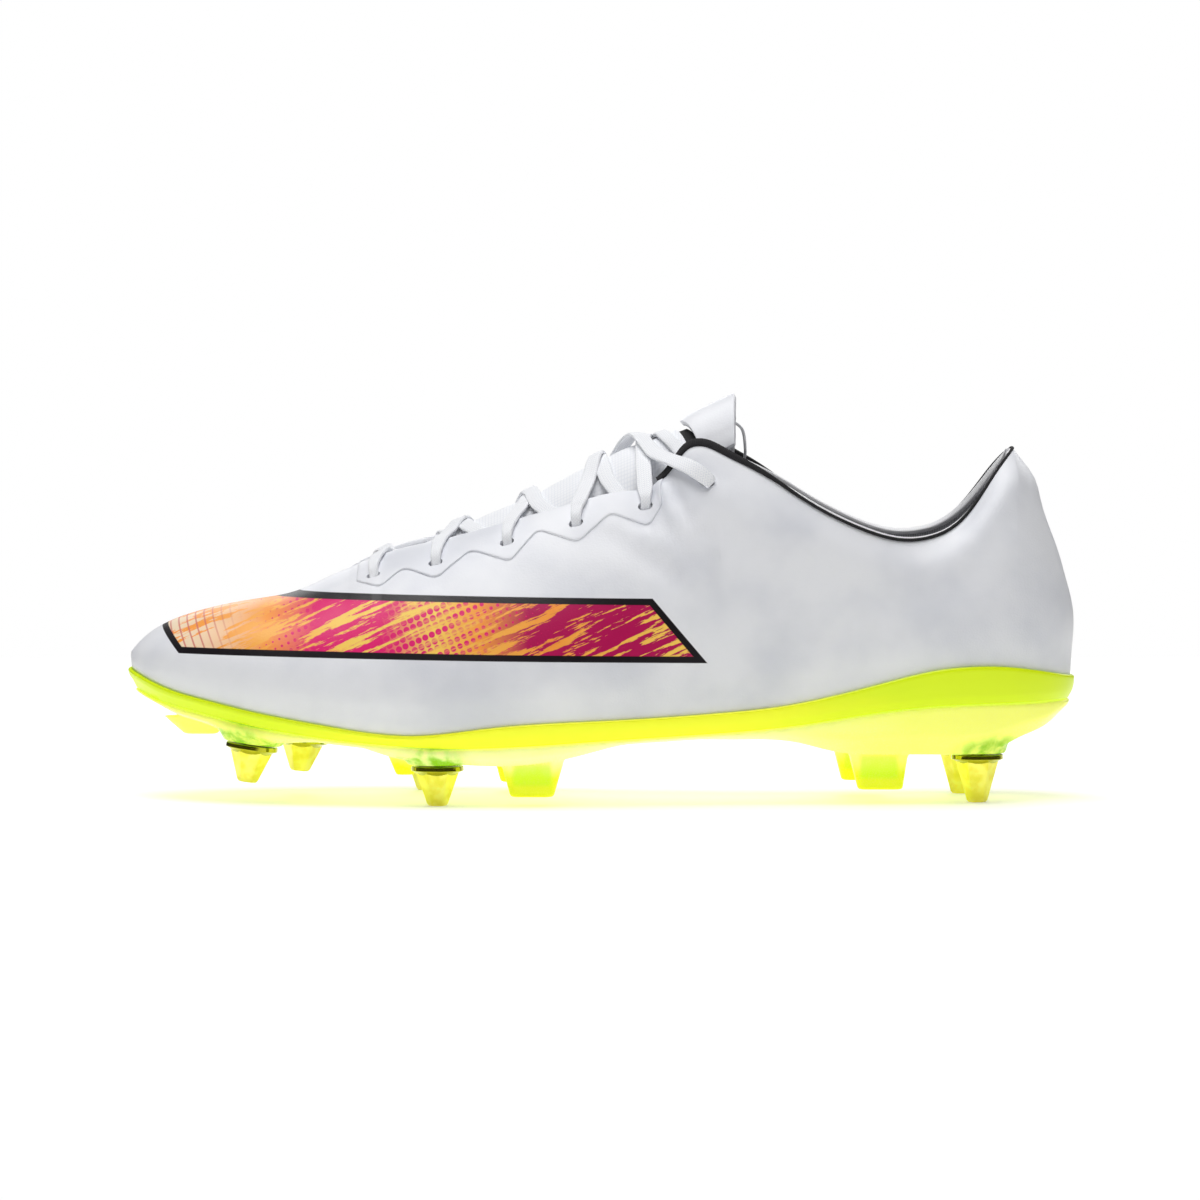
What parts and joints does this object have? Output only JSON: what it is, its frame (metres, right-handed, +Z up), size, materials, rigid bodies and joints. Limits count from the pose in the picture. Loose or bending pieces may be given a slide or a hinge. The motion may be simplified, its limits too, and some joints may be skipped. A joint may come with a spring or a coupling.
{
  "type": "soccer cleat",
  "caption": "Left soft-ground soccer cleat: white synthetic upper, crossed lacing, moulded volt outsole with blades and screw-in conical studs.",
  "frame": {"origin": "centre of the bounding box in X and Y, on the ground plane under the stud tips", "axes": "+X towards the heel, -X towards the toe, -Y the outer (lateral) side, +Z up"},
  "size_m": [0.2836, 0.0959, 0.1213],
  "materials": {
    "upper_synthetic": "satin white coated synthetic leather",
    "lace_polyester": "woven flat polyester",
    "aglet_film": "clear film over lace",
    "volt_plastic": "satin injection moulded",
    "clear_volt_plastic": "translucent moulded",
    "gold_aluminium": "gold anodised",
    "steel": "turned",
    "black_binding": "knitted tape",
    "grey_lining": "brushed textile",
    "foam": "open-cell foam",
    "board": "fibre board"
  },
  "bodies": {
    "boot": {"aglet_a": "aglet_film", "aglet_b": "aglet_film", "blade_core_heel_lateral": "volt_plastic", "blade_core_heel_medial": "volt_plastic", "blade_core_mid_lateral": "volt_plastic", "blade_core_mid_medial": "volt_plastic", "collar_binding": "black_binding", "collar_foam": "foam", "eyestay_lateral": "upper_synthetic", "eyestay_medial": "upper_synthetic", "heel_counter": "board", "heel_lining": "grey_lining", "insole_board": "board", "lace": "lace_polyester", "outsole_plate": "volt_plastic", "sockliner": "grey_lining", "stud_insert_front_lateral": "steel", "stud_insert_front_medial": "steel", "stud_insert_heel_lateral": "steel", "stud_insert_heel_medial": "steel", "stud_insert_mid_lateral": "steel", "stud_insert_mid_medial": "steel", "toe_puff": "board", "tongue": "upper_synthetic", "tongue_lining": "grey_lining", "traction_plate": "clear_volt_plastic", "upper": "upper_synthetic"},
    "flap": {"tongue_flap": "upper_synthetic"},
    "stud_front_lateral": {"stud_front_lateral": "gold_aluminium", "stud_pin_front_lateral": "steel"},
    "stud_front_medial": {"stud_front_medial": "gold_aluminium", "stud_pin_front_medial": "steel"},
    "stud_mid_lateral": {"stud_mid_lateral": "gold_aluminium", "stud_pin_mid_lateral": "steel"},
    "stud_mid_medial": {"stud_mid_medial": "gold_aluminium", "stud_pin_mid_medial": "steel"},
    "stud_heel_lateral": {"stud_heel_lateral": "gold_aluminium", "stud_pin_heel_lateral": "steel"},
    "stud_heel_medial": {"stud_heel_medial": "gold_aluminium", "stud_pin_heel_medial": "steel"}
  },
  "joints": [
    {"name": "stud_turn_front_lateral", "type": "hinge", "parent": "boot", "child": "stud_front_lateral", "pos_m": [-0.103, -0.017, 0.0173], "axis": [0.1392, 0, 0.9903], "continuous": true},
    {"name": "stud_turn_front_medial", "type": "hinge", "parent": "boot", "child": "stud_front_medial", "pos_m": [-0.0905, 0.029, 0.0166], "axis": [0.1045, 0, 0.9945], "continuous": true},
    {"name": "stud_turn_mid_lateral", "type": "hinge", "parent": "boot", "child": "stud_mid_lateral", "pos_m": [-0.0477, -0.033, 0.012], "axis": [0, 0, 1], "continuous": true},
    {"name": "stud_turn_mid_medial", "type": "hinge", "parent": "boot", "child": "stud_mid_medial", "pos_m": [-0.053, 0.033, 0.012], "axis": [0, 0, 1], "continuous": true},
    {"name": "stud_turn_heel_lateral", "type": "hinge", "parent": "boot", "child": "stud_heel_lateral", "pos_m": [0.1117, -0.018, 0.0145], "axis": [0, 0, 1], "continuous": true},
    {"name": "stud_turn_heel_medial", "type": "hinge", "parent": "boot", "child": "stud_heel_medial", "pos_m": [0.1094, 0.019, 0.0145], "axis": [0, 0, 1], "continuous": true},
    {"name": "flap_lift", "type": "hinge", "parent": "boot", "child": "flap", "pos_m": [0.0236, 0, 0.1096], "axis": [0, -1, 0], "range_deg": [-8, 80]}
  ]
}
